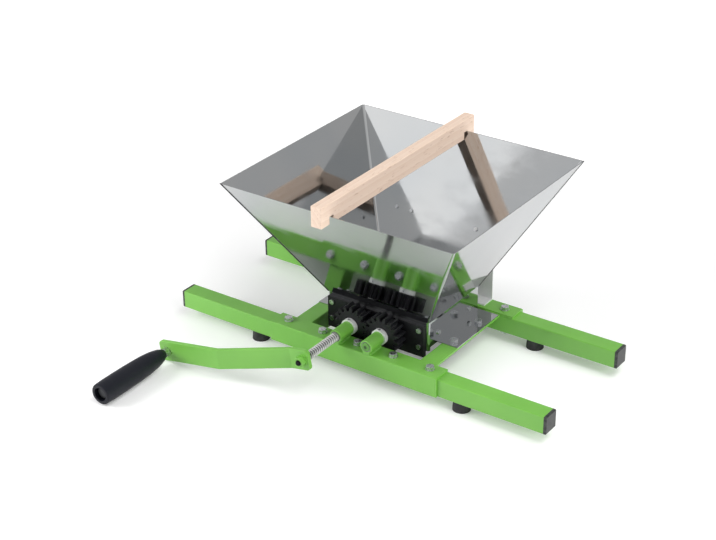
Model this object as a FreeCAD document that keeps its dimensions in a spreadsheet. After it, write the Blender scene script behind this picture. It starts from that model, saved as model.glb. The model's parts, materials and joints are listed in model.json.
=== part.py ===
import FreeCAD, Part
import math
import os
import re
from types import SimpleNamespace

import Sketcher
from FreeCAD import Placement, Rotation, Vector

# Apple scratter: a hand-cranked two-roller fruit crusher on a low rail frame.
# Millimetres. +X runs along the rails, +Y to the back (the crank is at the front) and +Z up
# from the floor. Every piece is laid out about the middle plane between the two rails; MIDDLE
# moves the whole machine so that the origin is under the centre of its bounding box.

doc = FreeCAD.newDocument("apple_scratter")

# ---------------------------------------------------------------------------------------------
# Driving dimensions
# ---------------------------------------------------------------------------------------------

SIZES = {
    # rails: square tube, caps, feet
    "rail_length": 575,
    "tube_side": 25,
    "tube_wall": 1.5,
    "tube_corner": 1.6,
    "rail_pitch": 186,
    "cap_head": 4,
    "cap_plug": 12,
    "cap_slack": 0.1,
    "cap_bevel": 1,
    "foot_height": 14,
    "foot_radius": 12,
    "foot_taper": 1,
    "foot_reach": 160,
    "foot_recess": 5,
    "foot_recess_radius": 5.5,
    "foot_screw_dia": 5,
    "foot_screw_length": 18,
    "foot_screw_head": 3,
    "foot_screw_head_radius": 4.5,
    # angle irons
    "angle_wall": 3,
    "angle_corner": 1.5,
    "cross_inner": 86,
    "bearing_length": 262,
    "bolt_pitch": 56,
    "bolt_dia": 6,
    "bolt_flats": 10,
    "bolt_head": 4,
    "nut_height": 5,
    "washer_radius": 6,
    "washer_wall": 1.2,
    "bolt_end": 2,
    "hex_land": 0.25,
    # bearings
    "axle_pitch": 48,
    "axle_rise": 11,
    "boss_radius": 9,
    "boss_foot": 10,
    "shaft_dia": 12,
    "shaft_bevel": 1,
    "running_gap": 0.05,
    "bush_wall": 1,
    "shaft_proud": 1.5,
    "side_gap": 0.3,
    # shaft fittings
    "collar_radius": 11,
    "collar_width": 6,
    "collar_screw_dia": 4,
    "ring_width": 1,
    "ring_depth": 0.75,
    "ring_radius": 8.5,
    "ring_mouth": 60,
    "key_side": 4,
    "key_depth": 2.4,
    # gears
    "gear_module": 3,
    "gear_teeth": 16,
    "gear_width": 19,
    "gear_backlash": 0.4,
    # star wheels
    "star_teeth": 10,
    "star_count": 7,
    "star_width": 7,
    "star_radius": 36,
    "star_root": 26,
    "star_hub": 10,
    "stack_gap": 1.5,
    # hopper
    "sheet_wall": 1.2,
    "sheet_bend": 4,
    "rim_length": 352,
    "rim_depth": 319,
    "rim_height": 246,
    "throat_height": 76,
    "neck_length": 160,
    "neck_depth": 125,
    "neck_bottom": 34,
    "hopper_back": 15.5,
    "slot_width": 16,
    "flange_setback": 21,
    "flange_bolt_spread": 60,
    "flange_bolt_inset": 12,
    # chamber plates and side guides
    "plate_wall": 6,
    "plate_length": 152,
    "plate_top": 72,
    "plate_bottom": 27,
    "plate_hole_gap": 1,
    "plate_screw_inset": 7,
    "small_screw_dia": 4,
    "small_screw_head": 1.8,
    "small_screw_head_radius": 3.6,
    "small_screw_length": 7,
    "guide_gap": 2,
    "guide_top": 75,
    "guide_shoulder": 58,
    "guide_bottom": 42,
    "guide_screw_height": 52,
    "guide_screw_spread": 76,
    # rear brackets
    "bracket_wall": 2,
    "bracket_width": 40,
    "bracket_inner": 44,
    "bracket_foot": 22,
    "bracket_tab": 26,
    "rivet_dia": 5,
    "rivet_head": 1.4,
    "rivet_head_radius": 4.5,
    "rivet_spread": 24,
    # crank
    "crank_radius": 203,
    "crank_reach": 180.7,
    "crank_width": 28,
    "crank_wall": 6,
    "crank_heel": 10,
    "crank_toe": 12,
    "crank_corner": 5,
    "crank_edge": 0.8,
    "bend_radius": 6,
    "bend_start": 19,
    "bend_end": 115,
    "bend_offset": 32.7,
    "shaft_flats": 10,
    "stud_dia": 8,
    "crank_washer_radius": 8,
    "crank_washer_wall": 1.6,
    "crank_nut_flats": 13,
    "crank_nut_height": 6.5,
    "floor_gap": 1,
    # grip
    "spindle_dia": 8,
    "spindle_head": 4,
    "spindle_head_radius": 7,
    "spindle_nut_flats": 13,
    "spindle_nut_height": 6.5,
    "grip_spacer_radius": 6.5,
    "grip_spacer_length": 8,
    "grip_length": 121.6,
    "grip_radius": 15,
    "grip_neck": 6.5,
    "grip_shoulder": 9.2,
    "grip_middle": 12.2,
    "grip_swell": 14.2,
    "grip_body": 14.9,
    "grip_draft": 0.6,
    "grip_round": 2.2,
    "grip_recess": 9,
    "grip_recess_radius": 9.5,
    # wooden bar
    "bar_width": 16,
    "bar_height": 28,
    "bar_length": 355,
    "bar_left": 11,
    "bar_notch": 10,
    "bar_notch_play": 0.8,
    "bar_round": 1.2,
}

sheet = doc.addObject("Spreadsheet::Sheet", "dims")
for row, (alias, value) in enumerate(SIZES.items(), start=1):
    sheet.set(f"A{row}", alias)
    sheet.set(f"B{row}", str(value))
    sheet.setAlias(f"B{row}", alias)
doc.recompute()
size = SimpleNamespace(**{alias: float(getattr(sheet, alias)) for alias in SIZES})

# Places that several pieces share, as expressions over the sheet.
RAIL_TOP = "(foot_height + tube_side)"
PLATE_TOP = f"({RAIL_TOP} + angle_wall)"
AXLE_HEIGHT = f"({PLATE_TOP} + axle_rise)"
RAIL_INSIDE = "(rail_pitch / 2 - tube_side / 2)"
RAIL_OUTSIDE = "(rail_pitch / 2 + tube_side / 2)"
BOSS_END = f"({RAIL_OUTSIDE} + angle_wall)"
SHAFT_END = f"({BOSS_END} + shaft_proud)"
CROSS_OUTER = "(cross_inner + tube_side)"
NECK_FRONT = "(hopper_back - neck_depth / 2)"
NECK_REAR = "(hopper_back + neck_depth / 2)"
GUIDE_START = f"({NECK_FRONT} + sheet_bend + side_gap)"
REAR_INSIDE = f"({NECK_REAR} - sheet_wall - plate_wall)"
FUNNEL_SLOPE = "((rim_depth - neck_depth) / 2 / (rim_height - throat_height))"
FUNNEL_SKIN = f"(sheet_wall / sqrt(1 + {FUNNEL_SLOPE} ^ 2))"
GRIP_START = "(crank_reach + bend_offset + grip_spacer_length + side_gap)"
FRONT_REACH = f"({GRIP_START} + grip_length)"
BACK_REACH = "(hopper_back + bar_length / 2)"
MIDDLE = f"(({FRONT_REACH} - {BACK_REACH}) / 2)"

# The same places as numbers, for the shapes that are worked out by formula.
rail_top = size.foot_height + size.tube_side
axle_height = rail_top + size.angle_wall + size.axle_rise
front_inside = size.hopper_back - size.neck_depth / 2 + size.sheet_wall
rear_inside = size.hopper_back + size.neck_depth / 2 - size.sheet_wall - size.plate_wall
funnel_slope = (size.rim_depth - size.neck_depth) / 2 / (size.rim_height - size.throat_height)

# The star wheels of the two rollers alternate along the chamber, half a pitch apart.
stack_start = front_inside + size.stack_gap
stack_end = rear_inside - size.stack_gap
half_pitch = (stack_end - stack_start - size.star_width) / (2 * size.star_count - 1)

# The gears sit behind the collars, and a retaining ring holds each one from the back.
gear_start = (-(size.rail_pitch / 2 - size.tube_side / 2) + size.side_gap
              + size.collar_width)
gear_end = gear_start + size.gear_width

# At rest the crank has dropped until its grip is just off the floor.
crank_drop = math.degrees(math.asin(
    (axle_height - size.grip_radius - size.floor_gap) / size.crank_radius))

ALONG_Y = Rotation(Vector(1, 0, 0), -90)    # turns local +Z to +Y, and local +Y to -Z
AT_REST = Rotation(Vector(0, 1, 0), -crank_drop)

nodes = []


# ---------------------------------------------------------------------------------------------
# Helpers
# ---------------------------------------------------------------------------------------------

def near(value, *targets):
    """Whether a value is one of the targets."""
    return any(abs(value - target) < 0.01 for target in targets)


def polar(radius, angle):
    """A point at a distance and an angle from the local origin."""
    return Vector(radius * math.cos(angle), radius * math.sin(angle), 0)


def ex(text):
    """An expression over the sheet: every dimension's name gets the sheet's name before it."""
    return re.sub(r"[a-z]\w*",
                  lambda word: f"dims.{word.group()}" if word.group() in SIZES
                  else word.group(), text)


def bind(piece, **texts):
    """Bind properties of a piece to expressions over the sheet."""
    for name, text in texts.items():
        piece.setExpression(name, ex(text))


def place(piece, x="0", y="0", z="0", turn=Rotation()):
    """Turn a piece and bind its position."""
    piece.Placement = Placement(Vector(), turn)
    for axis, text in zip("xyz", (x, y, z)):
        piece.setExpression(f"Placement.Base.{axis}", ex(text))
    return piece


def node(piece, label):
    """Keep a piece as a sub-part under the given name."""
    piece.Label = label
    nodes.append(piece)
    return piece


def box(name, length, width, height, x="0", y="0", z="0"):
    """A box from its lowest corner."""
    piece = doc.addObject("Part::Box", name)
    bind(piece, Length=length, Width=width, Height=height)
    return place(piece, x, y, z)


def cylinder(name, radius, height, x="0", y="0", z="0", turn=Rotation()):
    """A cylinder from the centre of its first end."""
    piece = doc.addObject("Part::Cylinder", name)
    bind(piece, Radius=radius, Height=height)
    return place(piece, x, y, z, turn)


def cone(name, first_radius, second_radius, height, z="0"):
    """A cone frustum about the local Z axis."""
    piece = doc.addObject("Part::Cone", name)
    bind(piece, Radius1=first_radius, Radius2=second_radius, Height=height)
    return place(piece, z=z)


def hexagon(name, flats, height, both_ends=False):
    """A hexagonal prism by its size across the flats, its corners turned off at 30 degrees.

    Its round end faces stay inside the flats by hex_land.
    """
    prism = doc.addObject("Part::Prism", f"{name}_prism")
    prism.Polygon = 6
    bind(prism, Circumradius=f"{flats} / sqrt(3)", Height=height)
    face = f"({flats} / 2 - hex_land)"
    base = f"({face} + {height} * sqrt(3))"
    turned = [cone(f"{name}_top", base, face, height)]
    if both_ends:
        turned.append(cone(f"{name}_bottom", face, base, height))
    piece = doc.addObject("Part::MultiCommon", name)
    piece.Shapes = [prism] + turned
    return piece


def fuse(name, pieces):
    """One solid from several."""
    piece = doc.addObject("Part::MultiFuse", name)
    piece.Shapes = pieces
    piece.Refine = True
    return piece


def cut(name, base, tools):
    """A solid with others taken away from it."""
    if len(tools) > 1:
        tool = doc.addObject("Part::MultiFuse", f"{name}_tools")
        tool.Shapes = tools
    else:
        tool = tools[0]
    piece = doc.addObject("Part::Cut", name)
    piece.Base = base
    piece.Tool = tool
    return piece


def group(name, pieces):
    """Several separate solids in one sub-part."""
    piece = doc.addObject("Part::Compound", name)
    piece.Links = pieces
    return piece


def formed(name, shape):
    """A piece whose shape is worked out by formula."""
    piece = doc.addObject("Part::Feature", name)
    piece.Shape = shape
    return piece


def new_body(name):
    """A PartDesign body."""
    return doc.addObject("PartDesign::Body", name)


def new_sketch(body, role, offset="0"):
    """A sketch on one of the body's own origin planes, moved along that plane's normal."""
    plane = next(item for item in body.Origin.OriginFeatures if item.Role == role)
    sketch = body.newObject("Sketcher::SketchObject", f"{body.Name}_sketch")
    sketch.AttachmentSupport = [(plane, "")]
    sketch.MapMode = "FlatFace"
    sketch.setExpression("AttachmentOffset.Base.z", ex(offset))
    return sketch


def pin_point(sketch, index, point, across, up):
    """Bind a point of the sketch to a place measured from the sketch's origin."""
    for kind, text in (("DistanceX", across), ("DistanceY", up)):
        row = sketch.addConstraint(Sketcher.Constraint(kind, -1, 1, index, point, 1.0))
        sketch.setExpression(f"Constraints[{row}]", ex(text))


def outline(sketch, points):
    """A closed outline of straight lines through the given points."""
    count = len(points)
    corners = [Vector(math.cos(step * math.tau / count), math.sin(step * math.tau / count), 0)
               for step in range(count)]
    first = sketch.GeometryCount
    for step in range(count):
        sketch.addGeometry(Part.LineSegment(corners[step], corners[(step + 1) % count]), False)
    for step in range(count):
        following = first + (step + 1) % count
        sketch.addConstraint(Sketcher.Constraint("Coincident", first + step, 2, following, 1))
    for step, (across, up) in enumerate(points):
        pin_point(sketch, first + step, 1, across, up)


def rectangle(sketch, left, right, low, high):
    """A rectangle by its four sides."""
    outline(sketch, [(left, low), (right, low), (right, high), (left, high)])


def rounded_rectangle(sketch, across, up, corner):
    """A rectangle about the sketch's origin by its half sizes, with rounded corners."""
    signs = [(1, 1), (-1, 1), (-1, -1), (1, -1)]
    arcs = []
    for quarter, (right, top) in enumerate(signs):
        start = quarter * math.pi / 2
        rim = Part.Circle(Vector(2 * right, 2 * top, 0), Vector(0, 0, 1), 1.0)
        arcs.append(sketch.addGeometry(Part.ArcOfCircle(rim, start, start + math.pi / 2), False))
    for quarter, (right, top) in enumerate(signs):
        start, end = arcs[quarter], arcs[(quarter + 1) % 4]
        line = sketch.addGeometry(Part.LineSegment(
            sketch.getPoint(start, 2), sketch.getPoint(end, 1)), False)
        sketch.addConstraint(Sketcher.Constraint("Tangent", start, 2, line, 1))
        sketch.addConstraint(Sketcher.Constraint("Tangent", line, 2, end, 1))
        pin_point(sketch, start, 3, f"{right} * ({across} - {corner})",
                  f"{top} * ({up} - {corner})")
        row = sketch.addConstraint(Sketcher.Constraint("Radius", start, 1.0))
        sketch.setExpression(f"Constraints[{row}]", ex(corner))


def circle(sketch, across, up, radius):
    """A circle by its centre and radius."""
    index = sketch.addGeometry(Part.Circle(Vector(), Vector(0, 0, 1), 1.0), False)
    pin_point(sketch, index, 3, across, up)
    row = sketch.addConstraint(Sketcher.Constraint("Radius", index, 1.0))
    sketch.setExpression(f"Constraints[{row}]", ex(radius))


def flatted_circle(sketch, radius, half_flat):
    """A circle about the sketch's origin with a flat above and a flat below."""
    right = sketch.addGeometry(Part.ArcOfCircle(Part.Circle(), -0.6, 0.6), False)
    left = sketch.addGeometry(Part.ArcOfCircle(Part.Circle(), math.pi - 0.6, math.pi + 0.6),
                              False)
    top = sketch.addGeometry(Part.LineSegment(polar(1, 0.6), polar(1, math.pi - 0.6)), False)
    low = sketch.addGeometry(Part.LineSegment(polar(1, math.pi + 0.6), polar(1, -0.6)), False)
    for arc in (right, left):
        sketch.addConstraint(Sketcher.Constraint("Coincident", arc, 3, -1, 1))
        row = sketch.addConstraint(Sketcher.Constraint("Radius", arc, 1.0))
        sketch.setExpression(f"Constraints[{row}]", ex(radius))
    for first, first_point, second, second_point in (
            (top, 1, right, 2), (top, 2, left, 1), (low, 1, left, 2), (low, 2, right, 1)):
        sketch.addConstraint(
            Sketcher.Constraint("Coincident", first, first_point, second, second_point))
    for line, sign in ((top, 1), (low, -1)):
        sketch.addConstraint(Sketcher.Constraint("Horizontal", line))
        row = sketch.addConstraint(Sketcher.Constraint("DistanceY", -1, 1, line, 1, 0.5 * sign))
        sketch.setExpression(f"Constraints[{row}]", ex(f"{sign} * {half_flat}"))


def pad(body, sketch, length):
    """Add material from the sketch along its plane's normal."""
    feature = body.newObject("PartDesign::Pad", f"{body.Name}_pad")
    feature.Profile = sketch
    bind(feature, Length=length)
    sketch.Visibility = False
    return feature


def pocket(body, sketch, length):
    """Take material away from the sketch along its plane's normal."""
    feature = body.newObject("PartDesign::Pocket", f"{body.Name}_pocket")
    feature.Profile = sketch
    feature.Reversed = True
    bind(feature, Length=length)
    sketch.Visibility = False
    return feature


def bevel(body, chosen, width):
    """Chamfer the edges of the body's last feature for which chosen(edge) is true."""
    doc.recompute()
    base = body.Tip
    names = [f"Edge{place_in_list}" for place_in_list, edge in enumerate(base.Shape.Edges, 1)
             if chosen(edge)]
    feature = body.newObject("PartDesign::Chamfer", f"{body.Name}_chamfer")
    feature.Base = (base, names)
    bind(feature, Size=width)
    return feature


def round_over(body, chosen, radius):
    """Fillet the edges of the body's last feature for which chosen(edge) is true."""
    doc.recompute()
    base = body.Tip
    names = [f"Edge{place_in_list}" for place_in_list, edge in enumerate(base.Shape.Edges, 1)
             if chosen(edge)]
    feature = body.newObject("PartDesign::Fillet", f"{body.Name}_fillet")
    feature.Base = (base, names)
    bind(feature, Radius=radius)
    return feature


def prism_of(points, height):
    """A prism on a closed outline."""
    wire = Part.makePolygon(points + points[:1])
    return Part.Face(wire).extrude(Vector(0, 0, height))


def y_plane(depth):
    """The offset that puts an XZ sketch at the given Y, as its normal is -Y."""
    return f"-({depth})"


# ---------------------------------------------------------------------------------------------
# Base frame: rails, caps, feet
# ---------------------------------------------------------------------------------------------

BOLT_ROW = [-2, -1, 0, 1, 2]


def on_tube_corner(edge):
    """Whether an edge runs along one of the tube's four outer corners."""
    box_of_edge = edge.BoundBox
    return (box_of_edge.YLength < 0.01 and box_of_edge.ZLength < 0.01
            and near(abs(box_of_edge.YMax), size.tube_side / 2)
            and near(box_of_edge.ZMax, 0, size.tube_side))


def make_rail(label, side):
    """Square tube, drilled for the bearing angle's bolts and the foot screws."""
    body = new_body(label)
    profile = new_sketch(body, "YZ_Plane", "-(rail_length / 2 - cap_head)")
    rectangle(profile, "-tube_side / 2", "tube_side / 2", "0", "tube_side")
    rectangle(profile, "-(tube_side / 2 - tube_wall)", "tube_side / 2 - tube_wall",
              "tube_wall", "tube_side - tube_wall")
    pad(body, profile, "rail_length - 2 * cap_head")
    round_over(body, on_tube_corner, "tube_corner")
    bolt_holes = new_sketch(body, "XY_Plane")
    for step in BOLT_ROW:
        circle(bolt_holes, f"{step} * bolt_pitch", "0", "bolt_dia / 2")
    pocket(body, bolt_holes, "tube_side")
    screw_holes = new_sketch(body, "XY_Plane")
    for end in (-1, 1):
        circle(screw_holes, f"{end} * foot_reach", "0", "foot_screw_dia / 2")
    pocket(body, screw_holes, "tube_wall")
    place(body, y=f"{MIDDLE} + {side} * rail_pitch / 2", z="foot_height")
    node(body, label)


def make_cap(label, end, side):
    """Plastic plug with a bevelled square head, pushed into the rail's end."""
    body = new_body(label)
    head = new_sketch(body, "YZ_Plane")
    rectangle(head, "-tube_side / 2", "tube_side / 2", "0", "tube_side")
    pad(body, head, "cap_head")
    round_over(body, on_tube_corner, "tube_corner")
    plug = new_sketch(body, "YZ_Plane", "-cap_plug")
    inset = "(tube_wall + cap_slack)"
    rectangle(plug, f"-(tube_side / 2 - {inset})", f"tube_side / 2 - {inset}",
              inset, f"tube_side - {inset}")
    pad(body, plug, "cap_plug")
    bevel(body, lambda edge: edge.BoundBox.XMin > size.cap_head - 0.01, "cap_bevel")
    turn = Rotation() if end > 0 else Rotation(Vector(0, 0, 1), 180)
    place(body, x=f"{end} * (rail_length / 2 - cap_head)",
          y=f"{MIDDLE} + {side} * rail_pitch / 2", z="foot_height", turn=turn)
    node(body, label)


def make_foot(label, end, side):
    """Round rubber foot with a recess for its screw."""
    cone = doc.addObject("Part::Cone", f"{label}_cone")
    bind(cone, Radius1="foot_radius", Radius2="foot_radius - foot_taper", Height="foot_height")
    recess = cylinder(f"{label}_recess", "foot_recess_radius", "foot_recess")
    hole = cylinder(f"{label}_hole", "foot_screw_dia / 2", "foot_height")
    foot = cut(label, cone, [recess, hole])
    place(foot, f"{end} * foot_reach", f"{MIDDLE} + {side} * rail_pitch / 2")
    node(foot, label)


def make_foot_screws():
    """Four pan-head screws, each up through a foot into its rail."""
    screws = []
    for end in (-1, 1):
        for side in (-1, 1):
            where = {"x": f"{end} * foot_reach", "y": f"{side} * rail_pitch / 2"}
            head = cylinder("foot_screw_head", "foot_screw_head_radius", "foot_screw_head",
                            z="foot_recess - foot_screw_head", **where)
            shank = cylinder("foot_screw_shank", "foot_screw_dia / 2", "foot_screw_length",
                             z="foot_recess - foot_screw_head", **where)
            screws.append(fuse("foot_screw", [head, shank]))
    node(place(group("foot_screws", screws), y=MIDDLE), "foot_screws")


for side, end_name in ((-1, "front"), (1, "rear")):
    make_rail(f"{end_name}_rail", side)
    for end, hand in ((-1, "left"), (1, "right")):
        make_cap(f"{end_name}_{hand}_cap", end, side)
        make_foot(f"{end_name}_{hand}_foot", end, side)
make_foot_screws()


# ---------------------------------------------------------------------------------------------
# Cross angles and bearing angles
# ---------------------------------------------------------------------------------------------

FLANGE_BOLTS = [f"hopper_back + {step} * flange_bolt_spread / 2" for step in (-1, 1)]
FLANGE_BOLT_REACH = f"({CROSS_OUTER} - flange_bolt_inset)"


def make_cross_angle(label, hand):
    """Angle iron welded between the rails: one leg flat on top, the other down its inner edge."""
    body = new_body(label)
    profile = new_sketch(body, "XZ_Plane", y_plane(RAIL_INSIDE))
    low = "foot_height"
    outline(profile, [
        (f"{hand} * cross_inner", low),
        (f"{hand} * (cross_inner + angle_wall)", low),
        (f"{hand} * (cross_inner + angle_wall)", f"{RAIL_TOP} - angle_wall"),
        (f"{hand} * {CROSS_OUTER}", f"{RAIL_TOP} - angle_wall"),
        (f"{hand} * {CROSS_OUTER}", RAIL_TOP),
        (f"{hand} * cross_inner", RAIL_TOP),
    ])
    pad(body, profile, f"2 * {RAIL_INSIDE}")
    round_over(body, lambda edge: (near(edge.BoundBox.XMin, hand * size.cross_inner)
                                   and near(edge.BoundBox.XLength, 0)
                                   and near(edge.BoundBox.ZMin, rail_top)), "angle_corner")
    holes = new_sketch(body, "XY_Plane", f"{RAIL_TOP} - angle_wall")
    for depth in FLANGE_BOLTS:
        circle(holes, f"{hand} * {FLANGE_BOLT_REACH}", depth, "bolt_dia / 2")
    pocket(body, holes, "angle_wall")
    place(body, y=MIDDLE)
    node(body, label)


def make_bearing_angle(label, side):
    """Angle iron over a rail's top and outer face, with two bearing bosses welded on feet."""
    body = new_body(label)
    profile = new_sketch(body, "YZ_Plane", "-bearing_length / 2")
    outline(profile, [
        (f"{side} * {BOSS_END}", "foot_height"),
        (f"{side} * {BOSS_END}", PLATE_TOP),
        (f"{side} * {RAIL_INSIDE}", PLATE_TOP),
        (f"{side} * {RAIL_INSIDE}", RAIL_TOP),
        (f"{side} * {RAIL_OUTSIDE}", RAIL_TOP),
        (f"{side} * {RAIL_OUTSIDE}", "foot_height"),
    ])
    pad(body, profile, "bearing_length")
    outer_face = side * (size.rail_pitch / 2 + size.tube_side / 2 + size.angle_wall)
    round_over(body, lambda edge: (near(edge.BoundBox.YMin, outer_face)
                                   and near(edge.BoundBox.YLength, 0)
                                   and near(edge.BoundBox.ZMin, rail_top + size.angle_wall)),
               "angle_corner")
    start = y_plane(BOSS_END if side > 0 else f"-{RAIL_INSIDE}")
    bosses = new_sketch(body, "XZ_Plane", start)
    feet = new_sketch(body, "XZ_Plane", start)
    bores = new_sketch(body, "XZ_Plane", start)
    for hand in (-1, 1):
        axle_x = f"{hand} * axle_pitch / 2"
        circle(bosses, axle_x, AXLE_HEIGHT, "boss_radius")
        rectangle(feet, f"{axle_x} - boss_foot / 2", f"{axle_x} + boss_foot / 2",
                  PLATE_TOP, AXLE_HEIGHT)
    pad(body, feet, f"{BOSS_END} - {RAIL_INSIDE}")
    pad(body, bosses, f"{BOSS_END} - {RAIL_INSIDE}")
    for hand in (-1, 1):
        circle(bores, f"{hand} * axle_pitch / 2", AXLE_HEIGHT,
               "shaft_dia / 2 + running_gap + bush_wall")
    pocket(body, bores, f"{BOSS_END} - {RAIL_INSIDE}")
    holes = new_sketch(body, "XY_Plane", RAIL_TOP)
    for step in BOLT_ROW:
        circle(holes, f"{step} * bolt_pitch", f"{side} * rail_pitch / 2", "bolt_dia / 2")
    pocket(body, holes, "angle_wall")
    place(body, y=MIDDLE)
    node(body, label)


def hex_bolt(length, x, y, seat, washer="0"):
    """A hex bolt, head up, and its nut; washer is the thickness left for one under each."""
    nut_low = f"{seat} - {length} - {washer} - nut_height"
    head = place(hexagon("bolt_head", "bolt_flats", "bolt_head"), x, y, f"{seat} + {washer}")
    shank = cylinder("bolt_shank", "bolt_dia / 2",
                     f"{length} + 2 * {washer} + nut_height + bolt_end", x, y,
                     f"{nut_low} - bolt_end")
    blank = place(hexagon("nut_blank", "bolt_flats", "nut_height", True), x, y, nut_low)
    thread = cylinder("nut_thread", "bolt_dia / 2", "nut_height", x, y, nut_low)
    return fuse("bolt", [head, shank]), cut("nut", blank, [thread])


def bolt_washer(x, y, low):
    """A flat washer for a bolt, from the height of its lower face."""
    disc = cylinder("washer_disc", "washer_radius", "washer_wall", x, y, low)
    hole = cylinder("washer_hole", "bolt_dia / 2", "washer_wall", x, y, low)
    return cut("washer", disc, [hole])


def make_rail_bolts():
    """Five bolts through each rail; two at the back also hold the hopper brackets."""
    all_nuts = []
    all_washers = []
    for side, end_name in ((-1, "front"), (1, "rear")):
        bolts = []
        for step in BOLT_ROW:
            bracket = " + bracket_wall" if side > 0 and abs(step) == 1 else ""
            x, y = f"{step} * bolt_pitch", f"{side} * rail_pitch / 2"
            seat = f"({PLATE_TOP}{bracket})"
            bolt, nut = hex_bolt(f"(tube_side + angle_wall{bracket})", x, y, seat,
                                 "washer_wall")
            bolts.append(bolt)
            all_nuts.append(nut)
            all_washers += [bolt_washer(x, y, seat),
                            bolt_washer(x, y, "foot_height - washer_wall")]
        node(place(group(f"{end_name}_rail_bolts", bolts), y=MIDDLE), f"{end_name}_rail_bolts")
    node(place(group("rail_nuts", all_nuts), y=MIDDLE), "rail_nuts")
    node(place(group("rail_washers", all_washers), y=MIDDLE), "rail_washers")


def make_bush(label, hand, side):
    """Plain bush, pressed into a boss and flush with its two ends."""
    length = f"({BOSS_END} - {RAIL_INSIDE})"
    sleeve = cylinder(f"{label}_sleeve", "shaft_dia / 2 + running_gap + bush_wall", length)
    bore = cylinder(f"{label}_bore", "shaft_dia / 2 + running_gap", length)
    bush = cut(label, sleeve, [bore])
    turn = ALONG_Y if side > 0 else Rotation(Vector(1, 0, 0), 90)
    place(bush, f"{hand} * axle_pitch / 2", f"{MIDDLE} + {side} * {RAIL_INSIDE}", AXLE_HEIGHT,
          turn)
    node(bush, label)


make_cross_angle("left_cross_angle", -1)
make_cross_angle("right_cross_angle", 1)
make_bearing_angle("front_bearing_angle", -1)
make_bearing_angle("rear_bearing_angle", 1)
make_rail_bolts()
for hand, axle in ((-1, "drive"), (1, "driven")):
    make_bush(f"{axle}_front_bush", hand, -1)
    make_bush(f"{axle}_rear_bush", hand, 1)


# ---------------------------------------------------------------------------------------------
# Shafts and what turns on them. Local +Z is the machine's +Y, measured from the middle plane.
# ---------------------------------------------------------------------------------------------

RING_STARTS = [gear_end, stack_start - size.ring_width, stack_end]


def place_on_axle(piece, hand, along="0"):
    """Put a piece of a shaft on its axle, moved along it."""
    return place(piece, f"{hand} * axle_pitch / 2", f"{MIDDLE} + {along}", AXLE_HEIGHT, ALONG_Y)


def key_slot(name, start, length):
    """The space of a key, on the local -Y side of the shaft."""
    return box(name, "key_side", "key_side", f"{length}", "-key_side / 2",
               "-(shaft_dia / 2 - key_depth + key_side)", f"{start}")


def make_shaft(label, hand, front, cranked):
    """Round shaft with key slots and ring grooves.

    The drive shaft also has flats for the crank and a stud in front of them for its nut.
    """
    bar = cylinder(f"{label}_bar", "shaft_dia / 2", f"{front} + {SHAFT_END}", z=f"-{front}")
    tools = [key_slot(f"{label}_gear_slot", gear_start, size.gear_width),
             key_slot(f"{label}_roller_slot", stack_start, stack_end - stack_start)]
    front_radius = "stud_dia / 2" if cranked else "shaft_dia / 2"
    for start, first, second in (
            (f"-{front}", f"({front_radius} - shaft_bevel)", front_radius),
            (f"{SHAFT_END} - shaft_bevel", "shaft_dia / 2", "(shaft_dia / 2 - shaft_bevel)")):
        outer = cylinder(f"{label}_bevel_outer", "shaft_dia", "shaft_bevel", z=start)
        inner = cone(f"{label}_bevel_inner", first, second, "shaft_bevel", start)
        tools.append(cut(f"{label}_bevel", outer, [inner]))
    for start in RING_STARTS:
        outer = cylinder(f"{label}_groove_outer", "shaft_dia", "ring_width", z=f"{start}")
        inner = cylinder(f"{label}_groove_inner", "shaft_dia / 2 - ring_depth", "ring_width",
                         z=f"{start}")
        tools.append(cut(f"{label}_groove", outer, [inner]))
    if cranked:
        length = f"{front} - crank_reach + crank_wall"
        outer = cylinder(f"{label}_flat_outer", "shaft_dia", length)
        slab = box(f"{label}_flat_slab", "2 * shaft_dia", "shaft_flats", length,
                   "-shaft_dia", "-shaft_flats / 2")
        flats = cut(f"{label}_flats", outer, [slab])
        tools.append(place(flats, z=f"-{front}", turn=Rotation(Vector(0, 0, 1), -crank_drop)))
        stud_length = f"{front} - crank_reach"
        outer = cylinder(f"{label}_stud_outer", "shaft_dia", stud_length, z=f"-{front}")
        inner = cylinder(f"{label}_stud_inner", "stud_dia / 2", stud_length, z=f"-{front}")
        tools.append(cut(f"{label}_stud", outer, [inner]))
    node(place_on_axle(cut(label, bar, tools), hand), label)


def make_key(label, hand, start, length):
    """Square key on top of its shaft, half in the shaft and half in what it drives."""
    key = box(label, "key_side", f"{length}", "key_side",
              f"{hand} * axle_pitch / 2 - key_side / 2", f"{MIDDLE} + {start}",
              f"{AXLE_HEIGHT} + shaft_dia / 2 - key_depth")
    node(key, label)


def make_collar(axle, hand):
    """Steel set collar that runs against the front boss, with its grub screw."""
    start = f"-{RAIL_INSIDE} + side_gap"
    disc = cylinder(f"{axle}_collar_disc", "collar_radius", "collar_width", z=start)
    bore = cylinder(f"{axle}_collar_bore", "shaft_dia / 2", "collar_width", z=start)
    across = Rotation(Vector(1, 0, 0), 90)    # turns local +Z to local -Y
    screw_places = {"radius": "collar_screw_dia / 2", "y": "-shaft_dia / 2",
                    "z": f"{start} + collar_width / 2", "turn": across}
    hole = cylinder(f"{axle}_collar_hole", height="collar_radius", **screw_places)
    collar = cut(f"{axle}_collar", disc, [bore, hole])
    node(place_on_axle(collar, hand), f"{axle}_collar")
    screw = cylinder(f"{axle}_collar_stud", height="collar_radius - shaft_dia / 2 - side_gap",
                     **screw_places)
    node(place_on_axle(group(f"{axle}_collar_screw", [screw]), hand), f"{axle}_collar_screw")


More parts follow.
